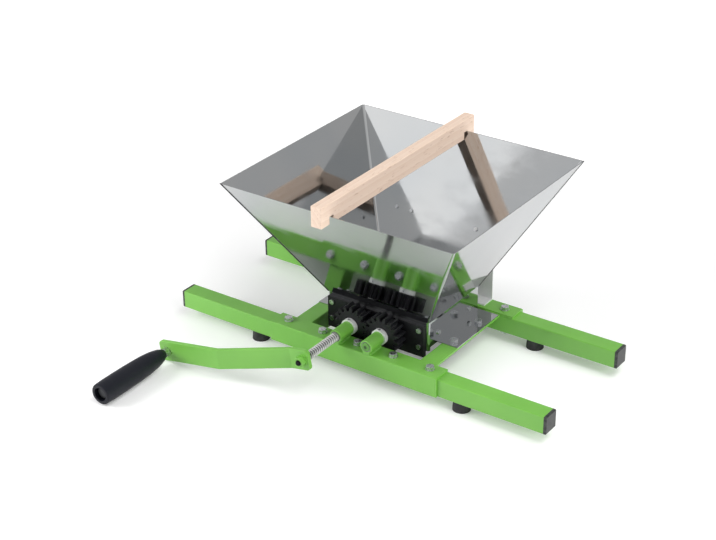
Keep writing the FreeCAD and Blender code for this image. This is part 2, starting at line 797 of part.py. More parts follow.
def make_rings(axle, hand):
    """Three open retaining rings: one behind the gear and one at each end of the star stack."""
    rings = []
    mouth = math.radians(size.ring_mouth / 2)
    reach = 2 * size.ring_radius
    for start in RING_STARTS:
        disc = Part.makeCylinder(size.ring_radius, size.ring_width)
        hole = Part.makeCylinder(size.shaft_dia / 2 - size.ring_depth, size.ring_width)
        wedge = prism_of([Vector(0, 0, 0), polar(reach, -mouth), polar(reach, mouth)],
                         size.ring_width)
        ring = disc.cut(hole).cut(wedge)
        ring.translate(Vector(0, 0, start))
        rings.append(ring)
    piece = formed(f"{axle}_retaining_rings", Part.makeCompound(rings))
    node(place_on_axle(piece, hand), f"{axle}_retaining_rings")


def bored(blank, length):
    """Bore a blank for the shaft and slot it for the key."""
    bore = Part.makeCylinder(size.shaft_dia / 2, length)
    slot = Part.makeBox(size.key_side, size.key_side, length,
                        Vector(-size.key_side / 2,
                               -(size.shaft_dia / 2 - size.key_depth + size.key_side), 0))
    return blank.cut(bore.fuse(slot))


def involute(angle):
    """The involute function of a pressure angle."""
    return math.tan(angle) - angle


def gear_points(first_angle):
    """The outline of a spur gear with one tooth centred on first_angle."""
    pressure = math.radians(20)
    pitch_radius = size.gear_module * size.gear_teeth / 2
    base_radius = pitch_radius * math.cos(pressure)
    tip_radius = pitch_radius + size.gear_module
    root_radius = pitch_radius - 1.25 * size.gear_module
    tooth = math.pi * size.gear_module / 2 - size.gear_backlash / 2
    half_at_base = tooth / 2 / pitch_radius + involute(pressure)
    flank_steps = 5
    points = []
    for number in range(int(size.gear_teeth)):
        centre = first_angle + number * math.tau / size.gear_teeth
        flank = [(root_radius, half_at_base)]
        for step in range(flank_steps + 1):
            radius = base_radius + (tip_radius - base_radius) * step / flank_steps
            flank.append((radius, half_at_base - involute(math.acos(base_radius / radius))))
        points += [polar(radius, centre - half) for radius, half in flank]
        points += [polar(radius, centre + half) for radius, half in reversed(flank)]
    return points


def make_gear(axle, hand, first_angle):
    """Moulded spur gear, keyed to its shaft. The two mesh at the middle of the machine."""
    gear = bored(prism_of(gear_points(first_angle), size.gear_width), size.gear_width)
    node(place_on_axle(formed(f"{axle}_gear", gear), hand, f"{gear_start}"), f"{axle}_gear")


def star_points(hand):
    """The outline of a star wheel whose hooked teeth lean the way it turns."""
    pitch = math.tau / size.star_teeth
    hook, land, heel = 0.12 * pitch, 0.14 * pitch, 0.62 * pitch
    points = []
    for number in range(int(size.star_teeth)):
        front = number * pitch
        for radius, angle in ((size.star_root, front - heel), (size.star_root, front),
                              (size.star_radius, front + hook),
                              (size.star_radius, front + hook - land)):
            points.append((radius, angle))
    ordered = []
    for number in range(int(size.star_teeth)):
        foot, front, tip, back = points[4 * number:4 * number + 4]
        ordered += [foot, back, tip, front]
    return [polar(radius, angle if hand < 0 else math.pi - angle) for radius, angle in ordered]


def make_star_wheels(axle, hand):
    """Seven star wheels, each with a hub that spaces it from the next one along."""
    wheels = []
    count = int(size.star_count)
    for number in range(count):
        if hand < 0:
            # The drive roller starts with a wheel, and its hubs point to the back.
            hub_start = stack_start + 2 * number * half_pitch
            disc_start = hub_start
            hub_end = hub_start + 2 * half_pitch
            if number == count - 1:
                hub_end = stack_end
        else:
            # The driven roller ends with a wheel, and its hubs point to the front.
            disc_start = stack_start + (2 * number + 1) * half_pitch
            hub_end = disc_start + size.star_width
            hub_start = hub_end - 2 * half_pitch
            if number == 0:
                hub_start = stack_start
        disc = prism_of(star_points(hand), size.star_width)
        disc.translate(Vector(0, 0, disc_start - hub_start))
        hub = Part.makeCylinder(size.star_hub, hub_end - hub_start)
        wheel = bored(disc.fuse(hub).removeSplitter(), hub_end - hub_start)
        wheel.translate(Vector(0, 0, hub_start))
        wheels.append(wheel)
    piece = formed(f"{axle}_star_wheels", Part.makeCompound(wheels))
    node(place_on_axle(piece, hand), f"{axle}_star_wheels")


SHAFT_FRONT = "(crank_reach + crank_washer_wall + crank_nut_height + bolt_end)"


def make_axle(axle, hand, front, cranked, first_angle):
    """One shaft with everything that is fixed to it."""
    make_shaft(f"{axle}_shaft", hand, front, cranked)
    make_collar(axle, hand)
    make_rings(axle, hand)
    make_gear(axle, hand, first_angle)
    make_star_wheels(axle, hand)
    make_key(f"{axle}_gear_key", hand, gear_start, size.gear_width)
    make_key(f"{axle}_roller_key", hand, stack_start, stack_end - stack_start)


make_axle("drive", -1, SHAFT_FRONT, True, 0.0)
make_axle("driven", 1, SHAFT_END, False, math.pi / size.gear_teeth)


# ---------------------------------------------------------------------------------------------
# Crank and grip. Local origin on the drive axle, the arm along local -X.
# ---------------------------------------------------------------------------------------------

TO_FRONT = Rotation(Vector(1, 0, 0), 90)    # turns local +Z to -Y
ARM_TIP = "-(crank_reach + bend_offset)"


def place_on_crank(piece):
    """Put a piece on the crank, which has dropped to its rest."""
    return place(piece, "-axle_pitch / 2", MIDDLE, AXLE_HEIGHT, AT_REST)


def make_crank_arm():
    """Flat bar bent outwards near the shaft, with a flatted hole and a hole for the spindle."""
    body = new_body("crank_arm")
    strip = new_sketch(body, "XY_Plane", "-crank_width / 2")
    near_front, far_front = "-crank_reach", ARM_TIP
    near_back, far_back = "-crank_reach + crank_wall", f"{ARM_TIP} + crank_wall"
    outline(strip, [
        ("crank_heel", near_front), ("-bend_start", near_front), ("-bend_end", far_front),
        ("-(crank_radius + crank_toe)", far_front), ("-(crank_radius + crank_toe)", far_back),
        ("-bend_end", far_back), ("-bend_start", near_back), ("crank_heel", near_back),
    ])
    pad(body, strip, "crank_width")
    arm_tip = -(size.crank_reach + size.bend_offset)
    concave = [(-size.bend_start, -size.crank_reach), (-size.bend_end, arm_tip + size.crank_wall)]
    convex = [(-size.bend_start, -size.crank_reach + size.crank_wall), (-size.bend_end, arm_tip)]
    for bends, radius in ((concave, "bend_radius"), (convex, "bend_radius + crank_wall")):
        round_over(body, lambda edge: (near(edge.BoundBox.ZLength, size.crank_width)
                                       and any(near(edge.BoundBox.XMin, x)
                                               and near(edge.BoundBox.YMin, y)
                                               for x, y in bends)), radius)
    arm_end = -(size.crank_radius + size.crank_toe)
    round_over(body, lambda edge: (near(edge.BoundBox.YLength, size.crank_wall)
                                   and near(edge.BoundBox.XLength, 0)
                                   and near(edge.BoundBox.XMin, arm_end, size.crank_heel)),
               "crank_corner")
    round_over(body, lambda edge: near(abs(edge.BoundBox.ZMin), size.crank_width / 2)
               and near(edge.BoundBox.ZLength, 0), "crank_edge")
    hub_hole = new_sketch(body, "XZ_Plane", "crank_reach - crank_wall")
    flatted_circle(hub_hole, "shaft_dia / 2", "shaft_flats / 2")
    pocket(body, hub_hole, "crank_wall")
    tip_hole = new_sketch(body, "XZ_Plane", "crank_reach + bend_offset - crank_wall")
    circle(tip_hole, "-crank_radius", "0", "spindle_dia / 2")
    pocket(body, tip_hole, "crank_wall")
    node(place_on_crank(body), "crank_arm")


def turned_ring(label, radius, hole, length, x, y):
    """A washer or spacer lying along Y, its first face at the given Y and its second behind."""
    disc = cylinder(f"{label}_disc", radius, length, x, y, turn=ALONG_Y)
    bore = cylinder(f"{label}_hole", hole, length, x, y, turn=ALONG_Y)
    return node(place_on_crank(cut(label, disc, [bore])), label)


def turned_nut(label, flats, hole, length, x, y):
    """A hex nut lying along Y."""
    blank = place(hexagon(f"{label}_blank", flats, length, True), x, y, turn=ALONG_Y)
    bore = cylinder(f"{label}_thread", hole, length, x, y, turn=ALONG_Y)
    return node(place_on_crank(cut(label, blank, [bore])), label)


def make_spindle():
    """Steel pin that the grip turns on, with a head in the grip's end recess."""
    front = f"({FRONT_REACH} - grip_recess + side_gap)"
    back = "(crank_reach + bend_offset - crank_wall - spindle_nut_height - bolt_end)"
    pin = cylinder("grip_spindle_pin", "spindle_dia / 2", f"{front} - {back}",
                   "-crank_radius", f"-{front}", turn=ALONG_Y)
    head = cylinder("grip_spindle_head", "spindle_head_radius", "spindle_head",
                    "-crank_radius", f"-{front} - spindle_head", turn=ALONG_Y)
    node(place_on_crank(fuse("grip_spindle", [pin, head])), "grip_spindle")


def make_grip():
    """Moulded grip: slim at the arm, thick over most of its length, with a recess in its end."""
    length = size.grip_length
    bore = size.spindle_dia / 2 + size.running_gap
    swell = [(0.05, size.grip_shoulder), (0.17, size.grip_middle), (0.38, size.grip_swell),
             (0.62, size.grip_body), (0.88, size.grip_radius)]
    curve = Part.BSplineCurve()
    curve.interpolate([Vector(radius, 0, share * length) for share, radius in swell])
    round_middle = Vector(size.grip_radius - size.grip_draft - size.grip_round, 0,
                          length - size.grip_round)
    round_points = [round_middle + Vector(size.grip_round * math.cos(angle), 0,
                                          size.grip_round * math.sin(angle))
                    for angle in (0, math.pi / 4, math.pi / 2)]
    corners = [Vector(bore, 0, 0), Vector(size.grip_neck, 0, 0), curve.StartPoint]
    end_corners = [round_points[-1], Vector(size.grip_recess_radius, 0, length),
                   Vector(size.grip_recess_radius, 0, length - size.grip_recess),
                   Vector(bore, 0, length - size.grip_recess), corners[0]]
    wire = Part.Wire(Part.makePolygon(corners).Edges
                     + [curve.toShape(), Part.makeLine(curve.EndPoint, round_points[0]),
                        Part.Arc(*round_points).toShape()]
                     + Part.makePolygon(end_corners).Edges)
    solid = Part.Face(wire).revolve(Vector(0, 0, 0), Vector(0, 0, 1), 360)
    grip = place(formed("grip", solid),
                 f"-axle_pitch / 2 - crank_radius * {math.cos(math.radians(crank_drop))}",
                 f"{MIDDLE} - {GRIP_START}",
                 f"{AXLE_HEIGHT} - crank_radius * {math.sin(math.radians(crank_drop))}",
                 TO_FRONT)
    node(grip, "grip")


make_crank_arm()
turned_ring("crank_washer", "crank_washer_radius", "stud_dia / 2", "crank_washer_wall",
            "0", "-crank_reach - crank_washer_wall")
turned_nut("crank_nut", "crank_nut_flats", "stud_dia / 2", "crank_nut_height",
           "0", "-crank_reach - crank_washer_wall - crank_nut_height")
make_spindle()
turned_ring("grip_spacer", "grip_spacer_radius", "spindle_dia / 2", "grip_spacer_length",
            "-crank_radius", f"{ARM_TIP} - grip_spacer_length")
turned_nut("grip_nut", "spindle_nut_flats", "spindle_dia / 2", "spindle_nut_height",
           "-crank_radius", f"{ARM_TIP} + crank_wall")
make_grip()


# ---------------------------------------------------------------------------------------------
# Hopper: sheet-steel funnel, neck and side flanges
# ---------------------------------------------------------------------------------------------

rivet_tilt = math.degrees(math.atan(funnel_slope))
ACROSS_FACE = Rotation(Vector(1, 0, 0), -(90 + rivet_tilt))    # turns +Z out of the rear face
RIVET_RISE = "(bracket_tab / 2)"
WEB_FACE = RAIL_OUTSIDE
WEB_HEIGHT = f"(throat_height + ({WEB_FACE} - {NECK_REAR}) / {FUNNEL_SLOPE})"
RIVET_Y = f"({WEB_FACE} + {FUNNEL_SLOPE} * {RIVET_RISE})"
RIVET_Z = f"({WEB_HEIGHT} + {RIVET_RISE})"
BRACKET_MIDDLE = "(bracket_inner + bracket_width / 2)"
PLATE_SCREW_REACH = "(plate_length / 2 - plate_screw_inset)"
PLATE_SCREWS = [(f"{hand} * {PLATE_SCREW_REACH}", height)
                for hand in (-1, 1)
                for height in ("plate_top - plate_screw_inset",
                               "neck_bottom + plate_screw_inset")]
GUIDE_SCREWS = [(hand, f"hopper_back + {step} * guide_screw_spread / 2")
                for hand in (-1, 1) for step in (-1, 1)]


def rivet_places():
    """Two rivets on each bracket."""
    return [(f"{hand} * {BRACKET_MIDDLE} + {step} * rivet_spread / 2", RIVET_Y, RIVET_Z)
            for hand in (-1, 1) for step in (-1, 1)]


def funnel_block(name, inset):
    """A block from the neck's foot to the rim, its upright corners rounded for the bends."""
    sections = []
    for height, length, depth in (("neck_bottom", "neck_length", "neck_depth"),
                                  ("throat_height", "neck_length", "neck_depth"),
                                  ("rim_height", "rim_length", "rim_depth")):
        section = doc.addObject("Sketcher::SketchObject", f"{name}_{height}")
        rounded_rectangle(section, f"({length} / 2 - {inset})", f"({depth} / 2 - {inset})",
                          f"(sheet_bend - {inset})")
        sections.append(place(section, y="hopper_back", z=height))
    block = doc.addObject("Part::Loft", name)
    block.Sections = sections
    block.Solid = True
    block.Ruled = True
    return block


def make_hopper():
    """Funnel on a square neck; the neck's sides are bent out into flanges on the cross angles."""
    flange_length = f"({NECK_REAR} - {NECK_FRONT})"
    flanges = box("neck_flanges", f"2 * {CROSS_OUTER}", f"{flange_length} - flange_setback",
                  "sheet_wall", f"-{CROSS_OUTER}", f"{NECK_FRONT} + flange_setback", RAIL_TOP)
    side_cut = box("neck_side_cut", "neck_length", "neck_depth - 2 * sheet_bend",
                   f"{RAIL_TOP} - neck_bottom", "-neck_length / 2", f"{NECK_FRONT} + sheet_bend",
                   "neck_bottom")
    tools = [funnel_block("funnel_inside", "sheet_wall"), side_cut]
    for hand in (-1, 1):
        tools.append(box("shaft_slot", "slot_width", "neck_depth",
                         f"{AXLE_HEIGHT} - neck_bottom",
                         f"{hand} * axle_pitch / 2 - slot_width / 2", NECK_FRONT, "neck_bottom"))
        tools.append(cylinder("shaft_slot_end", "slot_width / 2", "neck_depth",
                              f"{hand} * axle_pitch / 2", NECK_FRONT, AXLE_HEIGHT, ALONG_Y))
        for depth in FLANGE_BOLTS:
            tools.append(cylinder("flange_hole", "bolt_dia / 2", "sheet_wall",
                                  f"{hand} * {FLANGE_BOLT_REACH}", depth, RAIL_TOP))
    for x, z in PLATE_SCREWS:
        tools.append(cylinder("plate_screw_hole", "small_screw_dia / 2", "neck_depth",
                              x, NECK_FRONT, z, ALONG_Y))
    for hand, depth in GUIDE_SCREWS:
        tools.append(cylinder("guide_screw_hole", "small_screw_dia / 2", "2 * sheet_wall",
                              f"{hand} * (neck_length / 2 - sheet_wall)", depth,
                              "guide_screw_height",
                              Rotation(Vector(0, 1, 0), 90 * hand)))
    tools += [cylinder("rivet_hole", "rivet_dia / 2", "4 * sheet_wall", x,
                       f"{y} - {math.cos(math.radians(rivet_tilt))} * 2 * sheet_wall",
                       f"{z} + {math.sin(math.radians(rivet_tilt))} * 2 * sheet_wall",
                       ACROSS_FACE)
              for x, y, z in rivet_places()]
    blank = fuse("hopper_blank", [funnel_block("funnel_outside", "0"), flanges])
    node(place(cut("hopper", blank, tools), y=MIDDLE), "hopper")


def make_flange_bolts():
    """Four bolts that hold the hopper's flanges down on the cross angles."""
    bolts = []
    nuts = []
    for hand in (-1, 1):
        for depth in FLANGE_BOLTS:
            bolt, nut = hex_bolt("(angle_wall + sheet_wall)",
                                 f"{hand} * {FLANGE_BOLT_REACH}", depth,
                                 f"({RAIL_TOP} + sheet_wall)")
            bolts.append(bolt)
            nuts.append(nut)
    return bolts, nuts


def make_bracket(label, hand):
    """Folded strip: a foot under a rail bolt, an upright web and a tab on the funnel's back."""
    body = new_body(f"{label}_strip")
    low, high = f"{hand} * bracket_inner", f"{hand} * (bracket_inner + bracket_width)"
    profile = new_sketch(body, "YZ_Plane", low if hand > 0 else high)
    skin = f"bracket_wall * sqrt(1 + {FUNNEL_SLOPE} ^ 2)"
    outer_meet = f"({WEB_HEIGHT} + (bracket_wall - {skin}) / {FUNNEL_SLOPE})"
    tab_top = f"({WEB_HEIGHT} + bracket_tab)"
    tab_y = f"({WEB_FACE} + {FUNNEL_SLOPE} * bracket_tab)"
    outline(profile, [
        (f"{WEB_FACE} + bracket_wall - bracket_foot", PLATE_TOP),
        (f"{WEB_FACE} + bracket_wall", PLATE_TOP),
        (f"{WEB_FACE} + bracket_wall", outer_meet),
        (f"{tab_y} + {skin}", tab_top),
        (tab_y, tab_top),
        (WEB_FACE, WEB_HEIGHT),
        (WEB_FACE, f"{PLATE_TOP} + bracket_wall"),
        (f"{WEB_FACE} + bracket_wall - bracket_foot", f"{PLATE_TOP} + bracket_wall"),
    ])
    pad(body, profile, "bracket_width")
    hole = new_sketch(body, "XY_Plane", PLATE_TOP)
    circle(hole, f"{hand} * bolt_pitch", "rail_pitch / 2", "bolt_dia / 2")
    pocket(body, hole, "bracket_wall")
    holes = [cylinder(f"{label}_hole", "rivet_dia / 2", "3 * bracket_wall", x, y, z, ACROSS_FACE)
             for x, y, z in rivet_places() if x.startswith(f"{hand} ")]
    node(place(cut(label, body, holes), y=MIDDLE), label)


def make_rivets():
    """Four rivets through the brackets' tabs and the funnel's back."""
    lean_y = math.cos(math.radians(rivet_tilt))
    lean_z = -math.sin(math.radians(rivet_tilt))
    inner = f"({FUNNEL_SKIN} + rivet_head)"
    outer = "bracket_wall"
    rivets = []
    for x, y, z in rivet_places():
        shank = cylinder("rivet_shank", "rivet_dia / 2", f"{inner} + {outer} + rivet_head", x,
                         f"{y} - {lean_y} * {inner}", f"{z} - {lean_z} * {inner}", ACROSS_FACE)
        head = cylinder("rivet_outer_head", "rivet_head_radius", "rivet_head", x,
                        f"{y} + {lean_y} * {outer}", f"{z} + {lean_z} * {outer}", ACROSS_FACE)
        rivets.append(fuse("rivet", [shank, head]))
    node(place(group("bracket_rivets", rivets), y=MIDDLE), "bracket_rivets")


def make_end_plate(label, face):
    """Black plate that closes the shaft slots; face is the Y of its front side."""
    body = new_body(label)
    start = y_plane(f"{face} + plate_wall")
    blank = new_sketch(body, "XZ_Plane", start)
    rectangle(blank, "-plate_length / 2", "plate_length / 2", "plate_bottom", "plate_top")
    pad(body, blank, "plate_wall")
    holes = new_sketch(body, "XZ_Plane", start)
    for hand in (-1, 1):
        circle(holes, f"{hand} * axle_pitch / 2", AXLE_HEIGHT, "shaft_dia / 2 + plate_hole_gap")
    for x, z in PLATE_SCREWS:
        circle(holes, x, z, "small_screw_dia / 2")
    pocket(body, holes, "plate_wall")
    node(place(body, y=MIDDLE), label)


def make_plate_screws():
    """Eight screws: four from the front into the front plate, four from the back."""
    screws = []
    for x, z in PLATE_SCREWS:
        for face, turn in ((f"{NECK_FRONT} - plate_wall", ALONG_Y),
                           (NECK_REAR, TO_FRONT)):
            side = -1 if turn is ALONG_Y else 1
            shank = cylinder("plate_screw_shank", "small_screw_dia / 2",
                             "plate_wall + sheet_wall", x, face, z, turn)
            head = cylinder("plate_screw_head", "small_screw_head_radius", "small_screw_head",
                            x, f"{face} + {side} * small_screw_head", z, turn)
            screws.append(fuse("plate_screw", [shank, head]))
    node(place(group("end_plate_screws", screws), y=MIDDLE), "end_plate_screws")


def make_side_guide(label, hand):
    """Black block inside the neck's side that leads the fruit on to the roller."""
    body = new_body(label)
    profile = new_sketch(body, "XZ_Plane", y_plane(f"{REAR_INSIDE} - side_gap"))
    wall = f"{hand} * (neck_length / 2 - sheet_wall)"
    inner = f"{hand} * (axle_pitch / 2 + star_radius + guide_gap)"
    outline(profile, [(wall, "guide_bottom"), (inner, "guide_bottom"),
                      (inner, "guide_shoulder"), (wall, "guide_top")])
    pad(body, profile, f"{REAR_INSIDE} - side_gap - {GUIDE_START}")
    holes = new_sketch(body, "YZ_Plane", wall if hand < 0 else f"{wall} - small_screw_length")
    for direction, depth in GUIDE_SCREWS:
        if direction == hand:
            circle(holes, depth, "guide_screw_height", "small_screw_dia / 2")
    pocket(body, holes, "small_screw_length")
    node(place(body, y=MIDDLE), label)


def make_guide_screws():
    """Four screws through the neck's sides into the guides."""
    screws = []
    for hand, depth in GUIDE_SCREWS:
        inward = Rotation(Vector(0, 1, 0), -90 * hand)
        face = f"{hand} * neck_length / 2"
        shank = cylinder("guide_screw_shank", "small_screw_dia / 2",
                         "small_screw_length + sheet_wall", face, depth, "guide_screw_height",
                         inward)
        head = cylinder("guide_screw_head", "small_screw_head_radius", "small_screw_head",
                        f"{face} + {hand} * small_screw_head", depth, "guide_screw_height",
                        inward)
        screws.append(fuse("guide_screw", [shank, head]))
    node(place(group("side_guide_screws", screws), y=MIDDLE), "side_guide_screws")


make_hopper()
flange_bolts, flange_nuts = make_flange_bolts()
node(place(group("hopper_bolts", flange_bolts), y=MIDDLE), "hopper_bolts")
node(place(group("hopper_nuts", flange_nuts), y=MIDDLE), "hopper_nuts")
make_bracket("left_hopper_bracket", -1)
make_bracket("right_hopper_bracket", 1)
make_rivets()
make_end_plate("front_end_plate", f"{NECK_FRONT} - plate_wall")
make_end_plate("rear_end_plate", REAR_INSIDE)
make_plate_screws()
make_side_guide("left_side_guide", -1)
make_side_guide("right_side_guide", 1)
make_guide_screws()


# ---------------------------------------------------------------------------------------------
# Wooden bar, lying across the rim in two notches
# ---------------------------------------------------------------------------------------------

def make_bar():
    """Bar on edge, notched underneath where it straddles the front and back of the rim."""
    body = new_body("wooden_bar")
    low = "(rim_height - bar_notch)"
    seat = "(rim_height + side_gap)"
    profile = new_sketch(body, "YZ_Plane", "-bar_left - bar_width / 2")
    notch_out = "(rim_depth / 2 + bar_notch_play)"
    notch_in = f"(rim_depth / 2 - sheet_wall - bar_notch_play - {FUNNEL_SLOPE} * bar_notch)"
    outline(profile, [
        ("hopper_back - bar_length / 2", low), (f"hopper_back - {notch_out}", low),
        (f"hopper_back - {notch_out}", seat), (f"hopper_back - {notch_in}", seat),
        (f"hopper_back - {notch_in}", low), (f"hopper_back + {notch_in}", low),
        (f"hopper_back + {notch_in}", seat), (f"hopper_back + {notch_out}", seat),
        (f"hopper_back + {notch_out}", low), ("hopper_back + bar_length / 2", low),
        ("hopper_back + bar_length / 2", f"{low} + bar_height"),
        ("hopper_back - bar_length / 2", f"{low} + bar_height"),
    ])
    pad(body, profile, "bar_width")
    ends = [size.hopper_back + half * size.bar_length / 2 for half in (-1, 1)]
    top = size.rim_height - size.bar_notch + size.bar_height
    round_over(body, lambda edge: (near(edge.BoundBox.ZMin, top)
                                   or (near(edge.BoundBox.ZLength, size.bar_height)
                                       and near(edge.BoundBox.YMin, *ends))), "bar_round")
    node(place(body, y=MIDDLE), "wooden_bar")


make_bar()


# ---------------------------------------------------------------------------------------------
# Check and write
# ---------------------------------------------------------------------------------------------

doc.recompute()
for item in doc.Objects:
    if "Invalid" in item.State or "Error" in item.State:
        raise RuntimeError(f"{item.Label} failed: {item.State}")
for piece in nodes:
    if piece.Shape.isNull() or not piece.Shape.isValid():
        raise RuntimeError(f"{piece.Label} has no valid shape")

os.makedirs("parts", exist_ok=True)
for piece in nodes:
    piece.Shape.exportStep(f"parts/{piece.Label}.step")
print(f"{len(nodes)} sub-parts written")
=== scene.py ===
import json
import math
import random

import bmesh
import bpy
from mathutils import Matrix, Vector


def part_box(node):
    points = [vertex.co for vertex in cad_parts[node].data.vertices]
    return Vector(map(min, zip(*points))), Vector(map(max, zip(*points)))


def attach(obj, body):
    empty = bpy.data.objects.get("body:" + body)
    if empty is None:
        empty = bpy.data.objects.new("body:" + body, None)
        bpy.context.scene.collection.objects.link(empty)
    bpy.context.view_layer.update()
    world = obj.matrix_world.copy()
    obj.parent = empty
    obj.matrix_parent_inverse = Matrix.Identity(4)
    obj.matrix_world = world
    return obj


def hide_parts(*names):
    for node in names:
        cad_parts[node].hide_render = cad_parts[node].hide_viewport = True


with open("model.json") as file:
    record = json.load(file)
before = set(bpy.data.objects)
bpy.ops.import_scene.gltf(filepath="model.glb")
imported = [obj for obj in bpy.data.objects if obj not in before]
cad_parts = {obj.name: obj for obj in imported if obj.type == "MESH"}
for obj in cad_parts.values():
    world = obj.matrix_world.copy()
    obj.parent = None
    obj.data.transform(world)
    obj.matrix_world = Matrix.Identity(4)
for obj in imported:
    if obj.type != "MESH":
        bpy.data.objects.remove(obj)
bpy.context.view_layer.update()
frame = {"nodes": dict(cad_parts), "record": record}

# Apple scratter: the looks. Metres, in the CAD frame: +X along the rails, +Y to the back and
# +Z up from the floor. The crank is at the front left.

MM = 0.001
TINY = 0.001 * MM
scene = bpy.context.scene

# Sizes that the frame's boxes don't give
SHAFT_FLATS = 10 * MM       # across the flats that hold the crank
SHAFT_BEVEL = 1 * MM
STUD_RADIUS = 4 * MM        # the shaft's front end, which holds the crank's nut
STUD_PITCH = 1.25 * MM
STUD_DEPTH = 0.7 * MM
THREAD_PITCH = 4 * MM       # the coarse thread between the crank and the bearing
THREAD_DEPTH = 1.9 * MM
THREAD_STOP = 1.5 * MM      # what stays plain in front of the bearing
ARM_WALL = 6 * MM
BOSS_FOOT = 10 * MM         # the width of a bearing boss's foot
ANGLE_WALL = 3 * MM
BEAD = 2.0 * MM             # the radius of a weld
CROSS_BEAD = 0.8 * BEAD     # and of one on a cross angle
CROSS_INSETS = (2 * MM, 1 * MM)     # how far that one stays inside the angle's two edges
THROAT_HALF = 80 * MM       # half the width of the funnel's lower end
THROAT_HEIGHT = 76 * MM
FOLD_RADIUS = 4 * MM        # the funnel's bent corners
SEAM = 1.3 * MM             # the radius of a corner's weld seam
SEAM_PROUD = 0.5 * MM


def middle(node):
    """The centre of a node's box."""
    low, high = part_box(node)
    return (low + high) / 2


def along_axle(node):
    """Where a node starts and ends along Y."""
    low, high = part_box(node)
    return low.y, high.y


# ---------------------------------------------------------------------------------------------
# Camera, lamps, room
# ---------------------------------------------------------------------------------------------

CAMERA_AZIMUTH = math.radians(35.313)
CAMERA_ELEVATION = math.radians(27.98)
CAMERA_ROLL = math.radians(-0.656)
CAMERA_DISTANCE = 2.20776
CAMERA_TARGET = Vector((-0.042811, 0.045591, 0.110308))
CAMERA_LENS = 84.03
SENSOR_WIDTH = 36


def direction(azimuth, elevation):
    """The unit vector from the object to a viewer; azimuth 0 is the front, 90 degrees is +X."""
    return Vector((math.sin(azimuth) * math.cos(elevation),
                   -math.cos(azimuth) * math.cos(elevation), math.sin(elevation)))


def add_camera():
    """The camera at the photograph's place."""
    back = direction(CAMERA_AZIMUTH, CAMERA_ELEVATION)
    right = Vector((math.cos(CAMERA_AZIMUTH), math.sin(CAMERA_AZIMUTH), 0))
    axes = Matrix((right, back.cross(right), back)).transposed().to_4x4()
    data = bpy.data.cameras.new("camera")
    data.lens = CAMERA_LENS
    data.sensor_width = SENSOR_WIDTH
    camera = bpy.data.objects.new("camera", data)
    place = Matrix.Translation(CAMERA_TARGET + back * CAMERA_DISTANCE)
    camera.matrix_world = place @ axes @ Matrix.Rotation(CAMERA_ROLL, 4, "Z")
    scene.collection.objects.link(camera)
    scene.camera = camera


LAMP_TARGET = Vector((0, 0.03, 0.08))
LAMPS = [
    # name, azimuth, elevation, distance, width, power, whether metal reflects it
    ("key_lamp", -52, 20, 1.25, 0.7, 11, False),
    ("fill_lamp", 80, 20, 2.4, 1.2, 22.5, False),
    ("top_lamp", 100, 62, 2.2, 1.4, 28, False),
    ("soft_box", -51.7, 22, 2.62, 1.6, 4.3, True),
]


def add_lamps():
    """Three bright lamps, and a dim soft box whose reflection the polished steel shows."""
    for name, azimuth, elevation, distance, width, power, reflected in LAMPS:
        data = bpy.data.lights.new(name, "AREA")
        data.shape = "SQUARE"
        data.size = width
        data.energy = power
        lamp = bpy.data.objects.new(name, data)
        toward = direction(math.radians(azimuth), math.radians(elevation))
        lamp.location = LAMP_TARGET + toward * distance
        lamp.rotation_euler = toward.to_track_quat("Z", "Y").to_euler()
        lamp.visible_glossy = reflected
        scene.collection.objects.link(lamp)


WORLD_LIGHT = 0.3
FRONT_REFLECTED = 0.81
BACK_REFLECTED = 0.5


def add_world():
    """Even light. Metal mirrors a room that is lighter at the front, and the camera sees white."""
    world = bpy.data.worlds.new("studio")
    world.use_nodes = True
    scene.world = world
    nodes = world.node_tree.nodes
    links = world.node_tree.links
    path = nodes.new("ShaderNodeLightPath")
    shown = nodes["Background"]
    shown.inputs["Strength"].default_value = WORLD_LIGHT
    shown.inputs["Color"].default_value = (1, 1, 1, 1)
    room = nodes.new("ShaderNodeMapRange")
    room.inputs["From Min"].default_value = -1
    room.inputs["To Min"].default_value = FRONT_REFLECTED
    room.inputs["To Max"].default_value = BACK_REFLECTED
    axes = nodes.new("ShaderNodeSeparateXYZ")
    links.new(nodes.new("ShaderNodeTexCoord").outputs["Generated"], axes.inputs[0])
    links.new(axes.outputs["Y"], room.inputs["Value"])
    for ray in ("Is Glossy Ray", "Is Camera Ray"):
        other = nodes.new("ShaderNodeBackground")
        other.inputs["Color"].default_value = (1, 1, 1, 1)
        if ray == "Is Glossy Ray":
            links.new(room.outputs[0], other.inputs["Strength"])
        mix = nodes.new("ShaderNodeMixShader")
        links.new(path.outputs[ray], mix.inputs[0])
        links.new(shown.outputs[0], mix.inputs[1])
        links.new(other.outputs[0], mix.inputs[2])
        shown = mix
    links.new(shown.outputs[0], nodes["World Output"].inputs[0])


# ---------------------------------------------------------------------------------------------
# Materials
# ---------------------------------------------------------------------------------------------

NOISE_LOW, NOISE_HIGH = 0.3, 0.7    # what nearly all of a noise lies between
EDGE_LEAN = (0.98, 0.8)     # cosines of the normal's lean: where an edge starts, and is full
MIX_COLOURS = (6, 7)        # the Mix node's two colour inputs
MIX_RESULT = 2              # and its colour output


